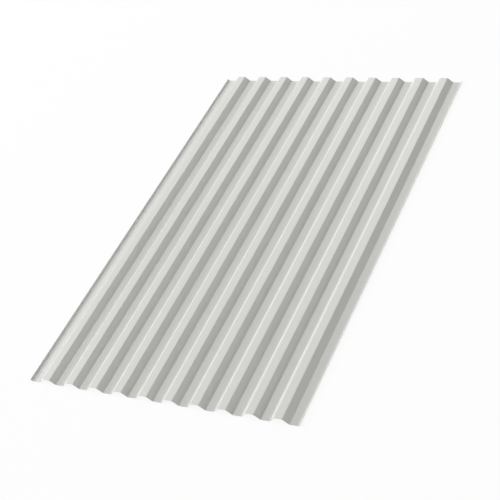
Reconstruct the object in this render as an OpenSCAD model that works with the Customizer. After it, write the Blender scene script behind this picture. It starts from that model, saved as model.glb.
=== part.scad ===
// Trapezoidal ribbed roofing and walling sheet, roll-formed from one strip of painted steel.
// X runs across the ribs, Y along them and Z up. The sheet lies on its valleys, on the plane Z = 0,
// and its origin is on that plane, under the middle of the sheet. All sizes are in millimetres.

/* [Sheet] */
// Length of the sheet, along its ribs
sheet_length = 1660; // [500:10:6000]
// Thickness of the coated steel
steel_thickness = 0.5; // [0.4:0.05:1.2]

/* [Ribs] */
// Number of ribs across the sheet
rib_count = 10; // [2:1:14]
// Height of a rib, from the underside of the valleys to the top of the crest
rib_height = 21; // [10:0.5:40]
// Width of a crest, between its two fold lines
crest_width = 30; // [20:0.5:60]
// Width of a valley, between its two fold lines
valley_width = 32; // [20:0.5:80]
// Width of one sloping web, seen from above
web_run = 19; // [12:0.5:30]
// Radius on the inside of every bend
bend_radius = 3; // [1:0.25:5]

/* [Side laps] */
// Width of the part web that turns up along each side edge, seen from above
lap_run = 7; // [4:0.5:12]

/* [Finish] */
// Colour of the paint on the upper side
paint = "#DEDFDA"; // [#DEDFDA, #8A9597, #5B3A29, #6F221D, #2F4538]

/* [Hidden] */
$fn = 64;

rib_pitch = crest_width + valley_width + 2 * web_run;
middle_radius = bend_radius + steel_thickness / 2;
outer_radius = bend_radius + steel_thickness;

// Flats and bends are placed in coarse steps of this size and one finer step, so that they meet exactly
coarse_step = 0.001;
// A flat is drawn in pieces whose length is a whole number of these
piece_step = 0.1;
// The cosine and the sine of the angle of the webs are whole numbers of these parts of 1
angle_parts = 1e6;

// Angle of the webs to the level
web_rise = rib_height - steel_thickness;
web_slant = norm([web_run, web_rise]);
web_angle = atan2(round(angle_parts * web_rise / web_slant), round(angle_parts * web_run / web_slant));

// Distance from a fold line to the line where its bend meets the flat
bend_setback = middle_radius * tan(web_angle / 2);
// Distance across the ribs between the centres of the bends at the foot and the top of a web
bend_spacing = (2 * middle_radius + (rib_height - 2 * outer_radius) * cos(web_angle)) / sin(web_angle);
// Half of the flat part of a valley and of a crest
valley_flat = valley_width / 2 - bend_setback;
crest_flat = rib_pitch / 2 - valley_flat - bend_spacing;
// Flat part of a web, and of the part web along a side edge
web_flat = web_rise / sin(web_angle) - 2 * bend_setback;
lap_flat = lap_run / cos(web_angle) - bend_setback;

// Moves a piece of the section sideways, in a coarse step and a fine one
module sideways(distance) {
    coarse = round(distance / coarse_step) * coarse_step;
    translate([coarse, 0])
        translate([distance - coarse, 0])
            children();
}

// A flat of the section, below the centre of a bend, that runs to the right if side is 1, or to the left if it is -1.
// It is two pieces of the same length, one from each of its ends, that run over each other.
module flat(length, side) {
    piece = floor(length / piece_step) * piece_step;
    for (start = [0, length - piece])
        sideways(side > 0 ? start : -start - piece)
            translate([0, -outer_radius])
                square([piece, steel_thickness]);
}

// A bend around its centre, from a level flat up to a web on the right if side is 1, or on the left if it is -1
module bend(side) {
    reach = 2 * outer_radius;
    intersection() {
        difference() {
            circle(r = outer_radius);
            circle(r = bend_radius);
        }
        translate([side > 0 ? 0 : -reach, -reach])
            square(reach);
        rotate(side * web_angle)
            translate([side > 0 ? -reach : 0, -reach])
                square(reach);
    }
}

// A valley around the middle of its underside: its flat, the bend at each end of it, and a web beyond each bend.
// A web of no length is left out.
module trough(half_flat, left_web, right_web) {
    translate([0, outer_radius])
        for (side = [-1, 1]) {
            web = side < 0 ? left_web : right_web;
            flat(half_flat, side);
            sideways(side * half_flat) {
                bend(side);
                if (web > 0)
                    rotate(side * web_angle)
                        flat(web, side);
            }
        }
}

// A valley with its webs, or with the part web on a side that is an edge of the sheet
module valley(left_edge, right_edge) {
    trough(valley_flat, left_edge ? lap_flat : web_flat, right_edge ? lap_flat : web_flat);
}

// A crest between the webs of two valleys: a trough turned over
module crest() {
    translate([0, rib_height])
        rotate(180)
            trough(crest_flat, 0, 0);
}

// The whole rolled section, from the left edge to the right one
module section() {
    for (k = [0 : rib_count])
        translate([(k - rib_count / 2) * rib_pitch, 0])
            valley(k == 0, k == rib_count);
    for (k = [0 : rib_count - 1])
        translate([(k + 0.5 - rib_count / 2) * rib_pitch, 0])
            crest();
}

// The sheet: the section, run through the rolls and sheared square at both ends
module ribbed_sheet() {
    color(paint)
        translate([0, sheet_length / 2, 0])
            rotate([90, 0, 0])
                linear_extrude(height = sheet_length)
                    section();
}

ribbed_sheet();
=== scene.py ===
"""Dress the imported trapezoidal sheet: rolled steel, coats, cut edges, floor, studio light and camera.

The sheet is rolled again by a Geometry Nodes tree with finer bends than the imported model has, coated on
both sides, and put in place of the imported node. All lengths are in metres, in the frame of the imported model:
X runs across the ribs, Y along them and Z up, and the origin is under the middle of the sheet.
"""

from __future__ import annotations

import logging
import math
from dataclasses import dataclass, field
from enum import Enum
from typing import Any

import bpy
from mathutils import Color, Matrix, Vector

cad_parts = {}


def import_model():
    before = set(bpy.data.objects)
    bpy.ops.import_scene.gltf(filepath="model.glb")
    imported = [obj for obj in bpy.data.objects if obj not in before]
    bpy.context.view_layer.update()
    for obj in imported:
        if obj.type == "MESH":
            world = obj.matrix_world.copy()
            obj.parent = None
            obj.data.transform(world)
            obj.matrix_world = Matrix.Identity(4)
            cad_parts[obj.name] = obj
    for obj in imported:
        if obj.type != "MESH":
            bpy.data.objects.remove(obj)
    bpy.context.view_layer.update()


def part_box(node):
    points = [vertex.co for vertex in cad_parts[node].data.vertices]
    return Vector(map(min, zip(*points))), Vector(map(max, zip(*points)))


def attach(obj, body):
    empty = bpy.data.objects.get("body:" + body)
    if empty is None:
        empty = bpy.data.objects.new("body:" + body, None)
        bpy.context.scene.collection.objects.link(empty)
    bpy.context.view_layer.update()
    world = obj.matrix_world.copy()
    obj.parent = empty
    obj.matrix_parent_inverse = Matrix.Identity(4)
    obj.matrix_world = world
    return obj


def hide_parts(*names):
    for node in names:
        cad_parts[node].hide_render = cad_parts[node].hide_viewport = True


LOG = logging.getLogger("ribbed_sheet")

MILLIMETRE = 0.001
SHEET_NODE = "ribbed_sheet"
SHEET_BODY = "root"

WHITE = (1.0, 1.0, 1.0, 1.0)
FULL_LEVEL = 255
NOISE_DETAIL = 2.0

Triple = tuple[float, float, float]


class Side(Enum):
    """The sides of the steel that carry a finish of their own, as stored on the faces of the sheet."""

    TOP = 0
    UNDERSIDE = 1
    CUT = 2


class PaintColour(Enum):
    """Colours of the coats, as sRGB values from 0 to 255: five for the upper side and one for the back."""

    LIGHT_GREY = (222, 223, 218)
    SLATE_GREY = (138, 149, 151)
    BROWN = (91, 58, 41)
    OXIDE_RED = (111, 34, 29)
    GREEN = (47, 69, 56)
    BACKING_GREY = (196, 197, 192)

    def linear(self) -> Triple:
        """Give the colour in linear light, from 0 to 1, as shaders take it."""
        return tuple(Color([level / FULL_LEVEL for level in self.value]).from_srgb_to_scene_linear())


class Drawing:
    """A node tree that is being drawn, with short ways to add nodes and join them."""

    def __init__(self, tree: bpy.types.NodeTree) -> None:
        """Start on a tree.

        Args:
            tree: The node tree to draw in.
        """
        self.tree = tree

    def socket(self, name: str, kind: str, output: bool = False) -> None:
        """Add a socket to the face of a node group.

        Args:
            name: The socket's name.
            kind: Its type without the NodeSocket prefix, such as "Float".
            output: Whether it is an output.
        """
        in_out = "OUTPUT" if output else "INPUT"
        self.tree.interface.new_socket(name=name, in_out=in_out, socket_type="NodeSocket" + kind)

    def add(self, kind: str, feeds: dict[Any, Any] | None = None, **settings: Any) -> bpy.types.Node:
        """Add a node.

        Args:
            kind: The node's type.
            feeds: What goes into its inputs, by name or number: an output socket to join, or a value to set.
            settings: The node's own properties.

        Returns:
            The new node.
        """
        node = self.tree.nodes.new(kind)
        for name, value in settings.items():
            setattr(node, name, value)
        for key, value in (feeds or {}).items():
            self.feed(node, key, value)
        return node

    def feed(self, node: bpy.types.Node, key: Any, value: Any) -> None:
        """Join an output to a node's input, or set the input's value.

        Args:
            node: The node that is fed.
            key: The input's name or number.
            value: An output socket or a plain value.
        """
        if isinstance(value, bpy.types.NodeSocket):
            self.tree.links.new(value, node.inputs[key])
        else:
            node.inputs[key].default_value = value

    def math(self, operation: str, first: Any, second: Any = 0.0) -> bpy.types.NodeSocket:
        """Add a sum of two numbers.

        Args:
            operation: The kind of sum, such as "MULTIPLY".
            first: The first number or socket.
            second: The second number or socket.

        Returns:
            The output socket.
        """
        return self.add("ShaderNodeMath", {0: first, 1: second}, operation=operation).outputs[0]

    def point(self, x: Any = 0.0, y: Any = 0.0, z: Any = 0.0) -> bpy.types.NodeSocket:
        """Make a point or a direction from three numbers.

        Args:
            x: Its X as a number or socket.
            y: Its Y as a number or socket.
            z: Its Z as a number or socket.

        Returns:
            The output socket.
        """
        return self.add("ShaderNodeCombineXYZ", {"X": x, "Y": y, "Z": z}).outputs[0]

    def between(self, share: Any, first: Any, second: Any) -> bpy.types.NodeSocket:
        """Go from one number to another.

        Args:
            share: How far to go, from 0 to 1.
            first: The number or socket to start from.
            second: The number or socket to go to.

        Returns:
            The output socket.
        """
        step = self.math("SUBTRACT", second, first)
        return self.math("ADD", first, self.math("MULTIPLY", step, share))

    def ease(self, value: Any, low: Any, high: Any) -> bpy.types.NodeSocket:
        """Turn a number into a share that rises softly between two limits.

        Args:
            value: The number or socket to measure.
            low: Where the share is still 0.
            high: Where it has become 1.

        Returns:
            The output socket.
        """
        feeds = {"Value": value, "From Min": low, "From Max": high}
        return self.add("ShaderNodeMapRange", feeds, interpolation_type="SMOOTHSTEP").outputs[0]

    def looked_at(self) -> bpy.types.NodeSocket:
        """Tell rays that show a background, directly or reflected, from those that only light things.

        Returns:
            The output socket, 1 for rays that show it and 0 for the others.
        """
        path = self.add("ShaderNodeLightPath").outputs
        direct = self.math("MAXIMUM", path["Is Camera Ray"], path["Is Glossy Ray"])
        return self.math("MAXIMUM", direct, path["Is Transmission Ray"])

    def blend(self, share: Any, first: Any, second: Any, how: str = "MIX") -> bpy.types.NodeSocket:
        """Blend two colours.

        Args:
            share: How much of the second colour is used, from 0 to 1.
            first: The first colour or socket.
            second: The second colour or socket.
            how: The kind of blend.

        Returns:
            The output socket.
        """
        # The colour sockets of this node share their names with its number sockets, so they go by number
        feeds = {0: share, 6: first, 7: second}
        return self.add("ShaderNodeMix", feeds, data_type="RGBA", blend_type=how).outputs[2]

    def same(self, first: Any, second: Any) -> bpy.types.NodeSocket:
        """Tell whether two whole numbers are the same.

        Args:
            first: The first number or socket.
            second: The second number or socket.

        Returns:
            The output socket.
        """
        # The whole-number sockets of this node share their names with its other sockets, so they go by number
        feeds = {2: first, 3: second}
        return self.add("FunctionNodeCompare", feeds, data_type="INT", operation="EQUAL").outputs[0]

    def from_mesh(self, name: str) -> bpy.types.NodeOutputs:
        """Read a value that is stored on the mesh, in a material."""
        return self.add("ShaderNodeAttribute", attribute_type="GEOMETRY", attribute_name=name).outputs


class SectionTree:
    """The Geometry Nodes tree that rolls a trapezoidal section and runs it to length."""

    NAME = "Rolled Section"
    FLOATS = (
        "Length",
        "Pitch",
        "Rise",
        "Crest Width",
        "Web Run",
        "Lap Run",
        "Bend Radius",
        "Thickness",
        "Waviness",
        "Wave Length",
    )
    COUNTS = ("Rib Count", "Bend Segments", "Flat Cuts", "Length Segments")
    COATS = {Side.TOP: "Top Coat", Side.UNDERSIDE: "Under Coat", Side.CUT: "Cut Edge"}
    SIDE_ATTRIBUTE = "side"
    RIM_ATTRIBUTE = "rim_distance"
    DEPTH_ATTRIBUTE = "cut_depth"
    SHORTEST_FLAT = 4 * MILLIMETRE
    WELD = 0.01 * MILLIMETRE
    SHARP_ANGLE = math.radians(40)
    WAVE_DETAIL = 1.0

    def __init__(self) -> None:
        """Draw the tree."""
        self.tree = bpy.data.node_groups.new(self.NAME, "GeometryNodeTree")
        self.draw = Drawing(self.tree)
        draw = self.draw
        draw.socket("Geometry", "Geometry", output=True)
        for name in self.FLOATS:
            draw.socket(name, "Float")
        for name in self.COUNTS:
            draw.socket(name, "Int")
        for name in self.COATS.values():
            draw.socket(name, "Material")
        self.given = draw.add("NodeGroupInput").outputs

        # Sizes that several steps need, each from the middle of a rib, a valley, the steel or the sheet
        self.half_length = draw.math("MULTIPLY", self.given["Length"], 0.5)
        self.half_thickness = draw.math("MULTIPLY", self.given["Thickness"], 0.5)
        self.half_pitch = draw.math("MULTIPLY", self.given["Pitch"], 0.5)
        self.half_cover = draw.math("MULTIPLY", self.given["Rib Count"], self.half_pitch)
        self.half_crest = draw.math("MULTIPLY", self.given["Crest Width"], 0.5)
        self.foot = draw.math("ADD", self.half_crest, self.given["Web Run"])
        self.half_valley = draw.math("SUBTRACT", self.half_pitch, self.foot)
        self.lap_tip = draw.math("ADD", self.half_valley, self.given["Lap Run"])

        middle = self._waved(self._measured(self._middle_surface()))
        coated = self._coated(self._shell(middle))
        draw.add("NodeGroupOutput", {"Geometry": coated})

    def _fold_line(self, places: list[tuple[Any, Any]]) -> bpy.types.NodeSocket:
        """Bend a line through fold points, with round bends.

        Args:
            places: The X and the height of each point, as numbers or sockets, from left to right.

        Returns:
            The section as a curve, with its heights along -Y as a profile takes them.
        """
        draw = self.draw
        index = draw.add("GeometryNodeInputIndex").outputs[0]
        line = draw.add("GeometryNodeMeshLine", {"Count": len(places)})
        coordinates = []
        for axis in (0, 1):
            switch = draw.add("GeometryNodeIndexSwitch", data_type="FLOAT")
            for _ in range(len(places) - len(switch.index_switch_items)):
                switch.index_switch_items.new()
            draw.feed(switch, "Index", index)
            # The index is the first input, and the places follow it
            for number, place in enumerate(places, start=1):
                draw.feed(switch, number, place[axis])
            coordinates.append(switch.outputs[0])
        down = draw.math("MULTIPLY", coordinates[1], -1.0)
        fold_points = {"Geometry": line.outputs[0], "Position": draw.point(coordinates[0], down)}
        placed = draw.add("GeometryNodeSetPosition", fold_points)
        folded = draw.add("GeometryNodeMeshToCurve", {"Mesh": placed.outputs[0]})
        bends = {
            "Curve": folded.outputs[0],
            "Count": self.given["Bend Segments"],
            "Radius": self.given["Bend Radius"],
            "Limit Radius": True,
        }
        bent = draw.add("GeometryNodeFilletCurve", bends, mode="POLY")
        return self._cut_flats(bent.outputs[0])

    def _cut_flats(self, section: bpy.types.NodeSocket) -> bpy.types.NodeSocket:
        """Cut the flats of a section into shorter steps, and leave its bends as they are.

        Args:
            section: The section as a curve.

        Returns:
            The section with more points on its flats.
        """
        draw = self.draw
        index = draw.add("GeometryNodeInputIndex").outputs[0]
        here = draw.add("GeometryNodeInputPosition").outputs[0]
        following = draw.add("FunctionNodeIntegerMath", {0: index, 1: 1}, operation="ADD")
        look_up = {"Value": here, "Index": following.outputs[0]}
        after = draw.add("GeometryNodeFieldAtIndex", look_up, data_type="FLOAT_VECTOR", domain="POINT")
        step = draw.add("ShaderNodeVectorMath", {0: here, 1: after.outputs[0]}, operation="DISTANCE")
        flat = draw.math("GREATER_THAN", step.outputs["Value"], self.SHORTEST_FLAT)
        cuts = draw.math("MULTIPLY", flat, self.given["Flat Cuts"])
        return draw.add("GeometryNodeSubdivideCurve", {"Curve": section, "Cuts": cuts}).outputs[0]

    def _run_to_length(self, section: bpy.types.NodeSocket) -> bpy.types.NodeSocket:
        """Run a section along the length of the sheet.

        Args:
            section: The section as a curve.

        Returns:
            A surface with its upper side up.
        """
        draw = self.draw
        start = draw.point(y=draw.math("MULTIPLY", self.half_length, -1.0))
        end = draw.point(y=self.half_length)
        path = draw.add("GeometryNodeCurvePrimitiveLine", {"Start": start, "End": end})
        rows = draw.math("ADD", self.given["Length Segments"], 1.0)
        steps = {"Curve": path.outputs[0], "Count": rows}
        stepped = draw.add("GeometryNodeResampleCurve", steps, mode="COUNT")
        run = draw.add("GeometryNodeCurveToMesh", {"Curve": stepped.outputs[0], "Profile Curve": section})
        return run.outputs[0]

    def _welded(self, surface: bpy.types.NodeSocket) -> bpy.types.NodeSocket:
        """Join the points of a surface that lie on each other."""
        feeds = {"Geometry": surface, "Distance": self.WELD}
        return self.draw.add("GeometryNodeMergeByDistance", feeds).outputs[0]

    def _ribs(self) -> bpy.types.NodeSocket:
        """Set the ribs side by side.

        Returns:
            The ribs as instances, each from the middle of one valley to the middle of the next.
        """
        draw = self.draw
        right = [(self.half_crest, self.given["Rise"]), (self.foot, 0.0), (self.half_pitch, 0.0)]
        left = [(draw.math("MULTIPLY", x, -1.0), height) for x, height in reversed(right)]
        rib = self._run_to_length(self._fold_line(left + right))
        first = draw.math("SUBTRACT", self.half_pitch, self.half_cover)
        row = {
            "Count": self.given["Rib Count"],
            "Start Location": draw.point(first),
            "Offset": draw.point(self.given["Pitch"]),
        }
        places = draw.add("GeometryNodeMeshLine", row).outputs[0]
        return draw.add("GeometryNodeInstanceOnPoints", {"Points": places, "Instance": rib}).outputs[0]

    def _laps(self) -> bpy.types.NodeSocket:
        """Close the row of ribs with half a valley and a part web on each side.

        Returns:
            The two laps as instances.
        """
        draw = self.draw
        slope = draw.math("DIVIDE", self.given["Rise"], self.given["Web Run"])
        tip_height = draw.math("MULTIPLY", self.given["Lap Run"], slope)
        folds = [(0.0, 0.0), (self.half_valley, 0.0), (self.lap_tip, tip_height)]
        lap = self._run_to_length(self._fold_line(folds))
        # The right lap comes first, and the left one is the same lap turned half round
        to_left = draw.math("MULTIPLY", self.half_cover, -2.0)
        pair = {"Count": 2, "Start Location": draw.point(self.half_cover), "Offset": draw.point(to_left)}
        places = draw.add("GeometryNodeMeshLine", pair).outputs[0]
        index = draw.add("GeometryNodeInputIndex").outputs[0]
        half_turn = {"Axis": (0.0, 0.0, 1.0), "Angle": draw.math("MULTIPLY", index, math.pi)}
        rotation = draw.add("FunctionNodeAxisAngleToRotation", half_turn).outputs[0]
        turned = {"Points": places, "Instance": lap, "Rotation": rotation}
        return draw.add("GeometryNodeInstanceOnPoints", turned).outputs[0]

    def _middle_surface(self) -> bpy.types.NodeSocket:
        """Join the ribs and the laps into one surface.

        Returns:
            The surface half-way through the steel.
        """
        draw = self.draw
        both = draw.add("GeometryNodeJoinGeometry")
        for pieces in (self._ribs(), self._laps()):
            draw.feed(both, "Geometry", pieces)
        plain = draw.add("GeometryNodeRealizeInstances", {"Geometry": both.outputs[0]}).outputs[0]
        lift = {"Geometry": self._welded(plain), "Offset": draw.point(z=self.half_thickness)}
        return draw.add("GeometryNodeSetPosition", lift).outputs[0]

    def _stored(
        self,
        surface: bpy.types.NodeSocket,
        name: str,
        value: Any,
        kind: str,
        domain: str = "POINT",
        where: Any = True,
    ) -> bpy.types.NodeSocket:
        """Store a named value on a surface.

        Args:
            surface: The surface to store it on.
            name: The attribute's name.
            value: A number, a vector or a socket.
            kind: The attribute's data type.
            domain: What it is stored on.
            where: A socket that selects where it is stored.

        Returns:
            The surface with the value.
        """
        feeds = {"Geometry": surface, "Selection": where, "Name": name, "Value": value}
        stored = self.draw.add("GeometryNodeStoreNamedAttribute", feeds, data_type=kind, domain=domain)
        return stored.outputs[0]

    def _measured(self, surface: bpy.types.NodeSocket) -> bpy.types.NodeSocket:
        """Store how far each point is from the side edges as X, from the ends as Y and from a fold as Z.

        Args:
            surface: The surface half-way through the steel.

        Returns:
            The surface with those distances.
        """
        draw = self.draw
        place = draw.add("GeometryNodeInputPosition").outputs[0]
        apart = draw.add("ShaderNodeSeparateXYZ", {0: place}).outputs
        half_width = draw.math("ADD", self.half_cover, self.lap_tip)
        from_side = draw.math("SUBTRACT", half_width, draw.math("ABSOLUTE", apart["X"]))
        from_end = draw.math("SUBTRACT", self.half_length, draw.math("ABSOLUTE", apart["Y"]))
        # The middle of the last valley is half of the cover width from the middle of the sheet
        past_valley = draw.math("SUBTRACT", apart["X"], self.half_cover)
        from_valley = draw.math("PINGPONG", past_valley, self.half_pitch)
        crest_fold = draw.math("ADD", self.half_valley, self.given["Web Run"])
        aside = [draw.math("SUBTRACT", from_valley, fold) for fold in (crest_fold, self.half_valley)]
        from_fold = draw.math("MINIMUM", *[draw.math("ABSOLUTE", distance) for distance in aside])
        distances = draw.point(from_side, from_end, from_fold)
        return self._stored(surface, self.RIM_ATTRIBUTE, distances, "FLOAT_VECTOR")

    def _waved(self, surface: bpy.types.NodeSocket) -> bpy.types.NodeSocket:
        """Give the flats the faint waves that rolling leaves in thin steel.

        Args:
            surface: The surface half-way through the steel.

        Returns:
            The same surface, a little uneven along its normals.
        """
        draw = self.draw
        place = draw.add("GeometryNodeInputPosition").outputs[0]
        scale = draw.math("DIVIDE", 1.0, self.given["Wave Length"])
        waves = {"Vector": place, "Scale": scale, "Detail": self.WAVE_DETAIL}
        noise = draw.add("ShaderNodeTexNoise", waves).outputs[0]
        centred = draw.math("SUBTRACT", noise, 0.5)
        return self._pushed(surface, draw.math("MULTIPLY", centred, self.given["Waviness"]))

    def _pushed(self, surface: bpy.types.NodeSocket, distance: bpy.types.NodeSocket) -> bpy.types.NodeSocket:
        """Move a surface along its normals.

        Args:
            surface: The surface to move.
            distance: How far to move it.

        Returns:
            The moved surface.
        """
        draw = self.draw
        normal = draw.add("GeometryNodeInputNormal").outputs[0]
        push = draw.add("ShaderNodeVectorMath", {0: normal, "Scale": distance}, operation="SCALE")
        moved = {"Geometry": surface, "Offset": push.outputs[0]}
        return draw.add("GeometryNodeSetPosition", moved).outputs[0]

    def _shell(self, middle: bpy.types.NodeSocket) -> bpy.types.NodeSocket:
        """Give the middle surface the thickness of the steel.

        Args:
            middle: The surface half-way through the steel.

        Returns:
            A closed shell, with its sides marked.
        """
        draw = self.draw
        down = draw.math("MULTIPLY", self.half_thickness, -1.0)
        top = self._stored(self._pushed(middle, self.half_thickness), self.DEPTH_ATTRIBUTE, 0.0, "FLOAT")
        lower = self._stored(self._pushed(middle, down), self.DEPTH_ATTRIBUTE, 1.0, "FLOAT")
        under = draw.add("GeometryNodeFlipFaces", {"Mesh": lower}).outputs[0]
        # An edge of the sheet has a face on one side only
        faces = draw.add("GeometryNodeInputMeshEdgeNeighbors").outputs[0]
        shear = {
            "Mesh": top,
            "Selection": draw.same(faces, 1),
            "Offset": draw.add("GeometryNodeInputNormal").outputs[0],
            "Offset Scale": draw.math("MULTIPLY", self.given["Thickness"], -1.0),
        }
        cut = draw.add("GeometryNodeExtrudeMesh", shear, mode="EDGES").outputs
        cut_faces = {"Geometry": cut["Mesh"], "Selection": cut["Side"]}
        walls = draw.add("GeometryNodeSeparateGeometry", cut_faces, domain="FACE").outputs[0]
        edge = self._stored(walls, self.DEPTH_ATTRIBUTE, 1.0, "FLOAT", where=cut["Top"])
        parts = draw.add("GeometryNodeJoinGeometry")
        sides = {Side.TOP: top, Side.UNDERSIDE: under, Side.CUT: edge}
        for side, surface in sides.items():
            marked = self._stored(surface, self.SIDE_ATTRIBUTE, side.value, "INT", "FACE")
            draw.feed(parts, "Geometry", marked)
        return self._welded(parts.outputs[0])

    def _coated(self, shell: bpy.types.NodeSocket) -> bpy.types.NodeSocket:
        """Smooth the bends, keep the cut edges sharp and coat each side.

        Args:
            shell: The closed shell with its sides marked.

        Returns:
            The finished sheet.
        """
        draw = self.draw
        angle = draw.add("GeometryNodeInputMeshEdgeAngle").outputs[0]
        soft = draw.math("LESS_THAN", angle, self.SHARP_ANGLE)
        smooth = shell
        for domain, rounded in {"FACE": True, "EDGE": soft}.items():
            feeds = {"Geometry": smooth, "Shade Smooth": rounded}
            smooth = draw.add("GeometryNodeSetShadeSmooth", feeds, domain=domain).outputs[0]
        sheet = draw.add("GeometryNodeRealizeInstances", {"Geometry": smooth}).outputs[0]
        stored = draw.add("GeometryNodeInputNamedAttribute", {"Name": self.SIDE_ATTRIBUTE}, data_type="INT")
        for side, name in self.COATS.items():
            here = draw.same(stored.outputs[0], side.value)
            coat = {"Geometry": sheet, "Selection": here, "Material": self.given[name]}
            sheet = draw.add("GeometryNodeSetMaterial", coat).outputs[0]
        return sheet

    def identifier(self, name: str) -> str:
        """Find the identifier of an input, by which a modifier holds its value.

        Args:
            name: The input's name.

        Returns:
            Its identifier.
        """
        for item in self.tree.interface.items_tree:
            if item.item_type == "SOCKET" and item.in_out == "INPUT" and item.name == name:
                return item.identifier
        raise KeyError(name)


class FilmGroup:
    """The shader group of a coil coat.

    It has clouds and roller streaks in its tint, a fine peel, more gloss on the folds that the rolls pressed,
    and a worn rim along the sheared edges.
    """

    NAME = "Coil Coat Film"
    CLOUDS_PER_METRE = (3.0, 2.0, 3.0)
    STREAKS_PER_METRE = (140.0, 0.7, 140.0)
    PEEL_PER_METRE = (700.0, 500.0, 700.0)
    CHIPS_PER_METRE = (900.0, 900.0, 900.0)
    ZINC = (0.50, 0.51, 0.52)
    ZINC_ROUGHNESS = 0.38
    STREAK_ROUGHNESS = 2.0
    FOLD_GLOSS = 0.06
    FOLD_REACH = 4 * MILLIMETRE
    COAT_DEPTH = 3.0
    BARE_SHARE = 0.5

    def __init__(self) -> None:
        """Draw the group."""
        self.tree = bpy.data.node_groups.new(self.NAME, "ShaderNodeTree")
        self.draw = Drawing(self.tree)
        draw = self.draw
        draw.socket("Colour", "Color")
        for name in ("Roughness", "Clouds", "Streaks", "Rim Width"):
            draw.socket(name, "Float")
        draw.socket("Colour", "Color", output=True)
        for name in ("Roughness", "Metallic", "Height"):
            draw.socket(name, "Float", output=True)
        self.given = draw.add("NodeGroupInput").outputs
        self.place = draw.add("ShaderNodeTexCoord").outputs["Object"]
        distances = draw.from_mesh(SectionTree.RIM_ATTRIBUTE)["Vector"]
        self.far_from = draw.add("ShaderNodeSeparateXYZ", {0: distances}).outputs

        streaks = self._unevenness(self.STREAKS_PER_METRE, self.given["Streaks"])
        worn = self._worn_rim()
        hollow = draw.math("MULTIPLY", worn, self.COAT_DEPTH)
        results = {
            "Colour": draw.blend(worn, self._tint(streaks), (*self.ZINC, 1.0)),
            "Roughness": draw.between(worn, self._dullness(streaks), self.ZINC_ROUGHNESS),
            "Metallic": worn,
            "Height": draw.math("SUBTRACT", self._noise(self.PEEL_PER_METRE), hollow),
        }
        draw.add("NodeGroupOutput", results)

    def _tint(self, streaks: bpy.types.NodeSocket) -> bpy.types.NodeSocket:
        """Shade the colour of the coat with clouds and streaks.

        Args:
            streaks: How much lighter or darker the streaks are.

        Returns:
            The shaded colour.
        """
        draw = self.draw
        clouds = self._unevenness(self.CLOUDS_PER_METRE, self.given["Clouds"])
        shade = draw.math("ADD", 1.0, draw.math("ADD", clouds, streaks))
        grey = draw.add("ShaderNodeCombineColor", {"Red": shade, "Green": shade, "Blue": shade}).outputs[0]
        return draw.blend(1.0, self.given["Colour"], grey, "MULTIPLY")

    def _dullness(self, streaks: bpy.types.NodeSocket) -> bpy.types.NodeSocket:
        """Make the coat uneven in gloss along the streaks, and glossier on the folds.

        Args:
            streaks: How much lighter or darker the streaks are.

        Returns:
            The roughness of the coat.
        """
        draw = self.draw
        rubbed = draw.math("MULTIPLY", streaks, self.STREAK_ROUGHNESS)
        dull = draw.math("ADD", self.given["Roughness"], rubbed)
        glossy = draw.math("SUBTRACT", dull, self.FOLD_GLOSS)
        flat = draw.ease(self.far_from["Z"], 0.0, self.FOLD_REACH)
        return draw.between(flat, glossy, dull)

    def _noise(self, per_metre: Triple) -> bpy.types.NodeSocket:
        """Add a noise that may be stretched along the ribs.

        Args:
            per_metre: How many times it repeats in a metre along each axis.

        Returns:
            The noise, from 0 to 1.
        """
        stretched = self.draw.add("ShaderNodeVectorMath", {0: self.place, 1: per_metre}, operation="MULTIPLY")
        feeds = {"Vector": stretched.outputs[0], "Scale": 1.0, "Detail": NOISE_DETAIL}
        return self.draw.add("ShaderNodeTexNoise", feeds).outputs[0]

    def _unevenness(self, per_metre: Triple, amount: bpy.types.NodeSocket) -> bpy.types.NodeSocket:
        """Add a noise around zero.

        Args:
            per_metre: How many times it repeats in a metre along each axis.
            amount: How far it goes from end to end.

        Returns:
            The noise.
        """
        centred = self.draw.math("SUBTRACT", self._noise(per_metre), 0.5)
        return self.draw.math("MULTIPLY", centred, amount)

    def _worn_rim(self) -> bpy.types.NodeSocket:
        """Chip the coat along the sheared edges.

        Returns:
            How much of the coat is gone, from 0 to 1.
        """
        draw = self.draw
        nearest = draw.math("MINIMUM", self.far_from["X"], self.far_from["Y"])
        reach = draw.math("MULTIPLY", self._noise(self.CHIPS_PER_METRE), self.given["Rim Width"])
        sound = draw.ease(nearest, draw.math("MULTIPLY", reach, self.BARE_SHARE), reach)
        return draw.math("SUBTRACT", 1.0, sound)


def new_material(name: str) -> tuple[bpy.types.Material, Drawing]:
    """Make an empty material.

    Args:
        name: The material's name.

    Returns:
        The material and a drawing of its node tree.
    """
    material = bpy.data.materials.new(name)
    material.use_nodes = True
    material.node_tree.nodes.clear()
    return material, Drawing(material.node_tree)


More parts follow.
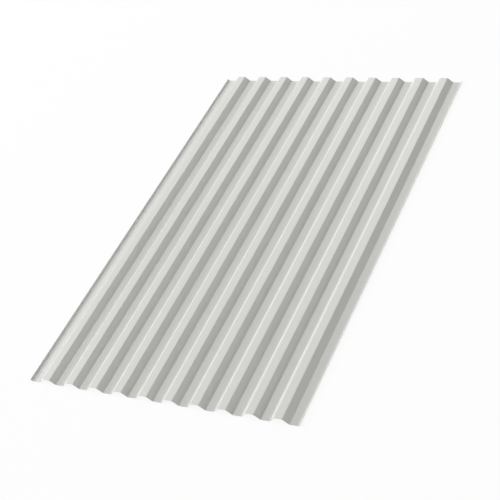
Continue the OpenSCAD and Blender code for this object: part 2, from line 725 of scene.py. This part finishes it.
@dataclass(frozen=True)
class CoilCoat:
    """A baked coat on one side of the steel."""

    name: str
    colour: PaintColour
    roughness: float
    clouds: float
    streaks: float
    peel_height: float = 0.01 * MILLIMETRE
    rim_width: float = 1.2 * MILLIMETRE
    refraction: float = 1.5

    def build(self, film: FilmGroup) -> bpy.types.Material:
        """Make the coat's material.

        Args:
            film: The group of the film's tint, peel and worn rim.

        Returns:
            The material.
        """
        material, draw = new_material(self.name)
        settings = {
            "Colour": (*self.colour.linear(), 1.0),
            "Roughness": self.roughness,
            "Clouds": self.clouds,
            "Streaks": self.streaks,
            "Rim Width": self.rim_width,
        }
        coat = draw.add("ShaderNodeGroup", settings, node_tree=film.tree).outputs
        peel = {"Height": coat["Height"], "Distance": self.peel_height, "Strength": 1.0}
        bump = draw.add("ShaderNodeBump", peel)
        feeds = {
            "Base Color": coat["Colour"],
            "Roughness": coat["Roughness"],
            "Metallic": coat["Metallic"],
            "Normal": bump.outputs[0],
            "IOR": self.refraction,
        }
        shader = draw.add("ShaderNodeBsdfPrincipled", feeds)
        draw.add("ShaderNodeOutputMaterial", {"Surface": shader.outputs[0]})
        return material


@dataclass(frozen=True)
class ShearedSteel:
    """The bare steel of the sheared edges: smooth where the blade cut it, and grainy where it tore off."""

    name: str = "sheared_steel"
    cut_colour: Triple = (0.60, 0.61, 0.62)
    torn_colour: Triple = (0.36, 0.37, 0.38)
    cut_roughness: float = 0.3
    torn_roughness: float = 0.6
    cut_share: float = 0.4
    cut_blur: float = 0.15
    grain_per_metre: float = 2500.0
    grain_height: float = 0.03 * MILLIMETRE

    def build(self) -> bpy.types.Material:
        """Make the material of the cut.

        Returns:
            The material.
        """
        material, draw = new_material(self.name)
        place = draw.add("ShaderNodeTexCoord").outputs["Object"]
        fine = {"Vector": place, "Scale": self.grain_per_metre, "Detail": NOISE_DETAIL}
        grain = draw.add("ShaderNodeTexNoise", fine).outputs[0]
        depth = draw.from_mesh(SectionTree.DEPTH_ATTRIBUTE)["Fac"]
        ragged = draw.math("ADD", depth, draw.math("MULTIPLY", grain, self.cut_blur))
        torn = draw.ease(ragged, self.cut_share, self.cut_share + self.cut_blur)
        height = draw.math("MULTIPLY", grain, torn)
        bump = draw.add("ShaderNodeBump", {"Height": height, "Distance": self.grain_height, "Strength": 1.0})
        feeds = {
            "Base Color": draw.blend(torn, (*self.cut_colour, 1.0), (*self.torn_colour, 1.0)),
            "Roughness": draw.between(torn, self.cut_roughness, self.torn_roughness),
            "Metallic": 1.0,
            "Normal": bump.outputs[0],
        }
        shader = draw.add("ShaderNodeBsdfPrincipled", feeds)
        draw.add("ShaderNodeOutputMaterial", {"Surface": shader.outputs[0]})
        return material


@dataclass
class RibbedSheet:
    """The sheet: one strip of steel, rolled into ribs and sheared to length."""

    length: float
    height: float
    rib_count: int = 10
    pitch: float = 100 * MILLIMETRE
    crest_width: float = 30 * MILLIMETRE
    web_run: float = 19 * MILLIMETRE
    lap_run: float = 7 * MILLIMETRE
    thickness: float = 0.5 * MILLIMETRE
    inner_radius: float = 3 * MILLIMETRE
    waviness: float = 0.2 * MILLIMETRE
    wave_length: float = 250 * MILLIMETRE
    bend_segments: int = 6
    flat_cuts: int = 3
    length_segments: int = 48
    rolls: SectionTree = field(init=False, repr=False)

    def build(self) -> bpy.types.Object:
        """Set up the rolls for this sheet's sizes.

        Returns:
            An object with the rolling tree on it, not yet coated.
        """
        self.rolls = SectionTree()
        blank = bpy.data.meshes.new("ribbed_sheet_blank")
        rolled = bpy.data.objects.new("ribbed_sheet_rolled", blank)
        bpy.context.scene.collection.objects.link(rolled)
        modifier = rolled.modifiers.new("rolls", "NODES")
        modifier.node_group = self.rolls.tree
        settings = {
            "Length": self.length,
            "Pitch": self.pitch,
            "Rise": self.height - self.thickness,
            "Crest Width": self.crest_width,
            "Web Run": self.web_run,
            "Lap Run": self.lap_run,
            "Bend Radius": self.inner_radius + self.thickness / 2,
            "Thickness": self.thickness,
            "Waviness": self.waviness,
            "Wave Length": self.wave_length,
            "Rib Count": self.rib_count,
            "Bend Segments": self.bend_segments,
            "Flat Cuts": self.flat_cuts,
            "Length Segments": self.length_segments,
        }
        for name, value in settings.items():
            modifier[self.rolls.identifier(name)] = value
        return rolled

    def dress(self, rolled: bpy.types.Object, coats: dict[Side, bpy.types.Material]) -> bpy.types.Object:
        """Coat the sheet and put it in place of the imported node.

        Args:
            rolled: The object that build made.
            coats: The material of each side.

        Returns:
            The sheet as a plain mesh that rides on its body.
        """
        modifier = rolled.modifiers["rolls"]
        for side, name in SectionTree.COATS.items():
            modifier[self.rolls.identifier(name)] = coats[side]
        scene_state = bpy.context.evaluated_depsgraph_get()
        mesh = bpy.data.meshes.new_from_object(rolled.evaluated_get(scene_state))
        mesh.name = "coated_sheet"
        # The tree joins uncoated parts, and that leaves one slot without a material
        for slot in reversed(range(len(mesh.materials))):
            if mesh.materials[slot] is None:
                mesh.materials.pop(index=slot)
        bpy.data.objects.remove(rolled)
        sheet = bpy.data.objects.new("coated_sheet", mesh)
        bpy.context.scene.collection.objects.link(sheet)
        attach(sheet, SHEET_BODY)
        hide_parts(SHEET_NODE)
        LOG.info("sheet: %d vertices, %d faces", len(mesh.vertices), len(mesh.polygons))
        return sheet


@dataclass
class Floor:
    """A level pale floor that shows white, with the soft shadow of the sheet on it."""

    half_width: float = 60.0
    drop: float = 0.3 * MILLIMETRE
    colour: Triple = (0.9, 0.9, 0.9)
    shown_white: float = 0.92

    def build(self) -> bpy.types.Object:
        """Lay the floor.

        Returns:
            The floor.
        """
        reach = self.half_width
        corners = [(-reach, -reach), (reach, -reach), (reach, reach), (-reach, reach)]
        mesh = bpy.data.meshes.new("studio_floor")
        mesh.from_pydata([(x, y, -self.drop) for x, y in corners], [], [(0, 1, 2, 3)])
        floor = bpy.data.objects.new("studio_floor", mesh)
        bpy.context.scene.collection.objects.link(floor)
        LOG.info("floor: %.0f m wide", 2 * reach)
        return floor

    def dress(self, floor: bpy.types.Object) -> None:
        """Paint the floor: matt, and lifted towards white where it is looked at.

        Args:
            floor: The floor that build made.
        """
        material, draw = new_material("pale_floor")
        matt = draw.add("ShaderNodeBsdfDiffuse", {"Color": (*self.colour, 1.0)})
        white = draw.add("ShaderNodeEmission", {"Color": WHITE, "Strength": 1.0})
        share = draw.math("MULTIPLY", draw.looked_at(), self.shown_white)
        both = draw.add("ShaderNodeMixShader", {0: share, 1: matt.outputs[0], 2: white.outputs[0]})
        draw.add("ShaderNodeOutputMaterial", {"Surface": both.outputs[0]})
        floor.data.materials.append(material)


@dataclass(frozen=True)
class SoftBox:
    """A large flat lamp that is aimed at the sheet.

    Its bearing, from the X axis, and its elevation are in degrees, and its power is in watts.
    """

    name: str
    bearing: float
    elevation: float
    power: float
    width: float
    height: float
    distance: float = 14.0

    def build(self) -> bpy.types.Object:
        """Hang the lamp.

        Returns:
            The lamp.
        """
        bearing = math.radians(self.bearing)
        elevation = math.radians(self.elevation)
        level = math.cos(elevation)
        aim = Vector((level * math.cos(bearing), level * math.sin(bearing), math.sin(elevation)))
        lamp = bpy.data.lights.new(self.name, "AREA")
        lamp.shape = "RECTANGLE"
        lamp.size = self.width
        lamp.size_y = self.height
        lamp.energy = self.power
        held = bpy.data.objects.new(self.name, lamp)
        held.location = aim * self.distance
        held.rotation_euler = aim.to_track_quat("Z", "Y").to_euler()
        bpy.context.scene.collection.objects.link(held)
        LOG.info("lamp: %s, %.0f W", self.name, self.power)
        return held


@dataclass
class StudioLight:
    """A low strip and a high box on the left and weak lamps behind and on the right, between even walls."""

    boxes: tuple[SoftBox, ...] = (
        SoftBox("low_strip", bearing=172.0, elevation=22.0, power=1060.0, width=10.0, height=2.0),
        SoftBox("high_box", bearing=182.0, elevation=57.0, power=880.0, width=7.0, height=7.0),
        SoftBox("far_box", bearing=109.0, elevation=31.0, power=275.0, width=7.0, height=7.0),
        SoftBox("fill_strip", bearing=0.0, elevation=12.0, power=220.0, width=10.0, height=2.0),
    )
    walls: float = 0.29

    def build(self) -> None:
        """Hang the lamps and light the walls."""
        for box in self.boxes:
            box.build()
        world = bpy.data.worlds.new("white_walls")
        world.use_nodes = True
        world.node_tree.nodes.clear()
        draw = Drawing(world.node_tree)
        walls = draw.add("ShaderNodeBackground", {"Color": WHITE, "Strength": self.walls})
        draw.add("ShaderNodeOutputWorld", {"Surface": walls.outputs[0]})
        bpy.context.scene.world = world


@dataclass
class Viewpoint:
    """Where the photograph was taken from, with its angles in degrees and its lens in millimetres."""

    place: Triple = (2.127, -2.616, 2.718)
    heading: float = 40.236
    elevation: float = 39.868
    roll: float = -23.399
    lens: float = 85.84
    sensor: float = 36.0

    def build(self) -> bpy.types.Object:
        """Set up the camera and make it the scene's.

        Returns:
            The camera.
        """
        data = bpy.data.cameras.new("viewpoint")
        data.lens = self.lens
        data.sensor_width = self.sensor
        camera = bpy.data.objects.new("viewpoint", data)
        turn = Matrix.Rotation(math.radians(self.heading), 4, "Z")
        tilt = Matrix.Rotation(math.pi / 2 - math.radians(self.elevation), 4, "X")
        lean = Matrix.Rotation(math.radians(self.roll), 4, "Z")
        camera.matrix_world = Matrix.Translation(self.place) @ turn @ tilt @ lean
        bpy.context.scene.collection.objects.link(camera)
        bpy.context.scene.camera = camera
        LOG.info("camera: lens of %.1f mm", self.lens)
        return camera


def main() -> None:
    """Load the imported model, dress it and light it."""
    logging.basicConfig(level=logging.INFO)
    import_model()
    lowest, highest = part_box(SHEET_NODE)

    film = FilmGroup()
    paint = CoilCoat("polyester_paint", PaintColour.LIGHT_GREY, roughness=0.36, clouds=0.03, streaks=0.02)
    backing = CoilCoat("backing_coat", PaintColour.BACKING_GREY, roughness=0.6, clouds=0.05, streaks=0.06)
    coats = {
        Side.TOP: paint.build(film),
        Side.UNDERSIDE: backing.build(film),
        Side.CUT: ShearedSteel().build(),
    }
    sheet = RibbedSheet(length=highest.y - lowest.y, height=highest.z - lowest.z)
    sheet.dress(sheet.build(), coats)

    floor = Floor()
    floor.dress(floor.build())
    StudioLight().build()
    Viewpoint().build()
    bpy.context.scene.view_settings.view_transform = "Standard"


if __name__ == "__main__":
    main()
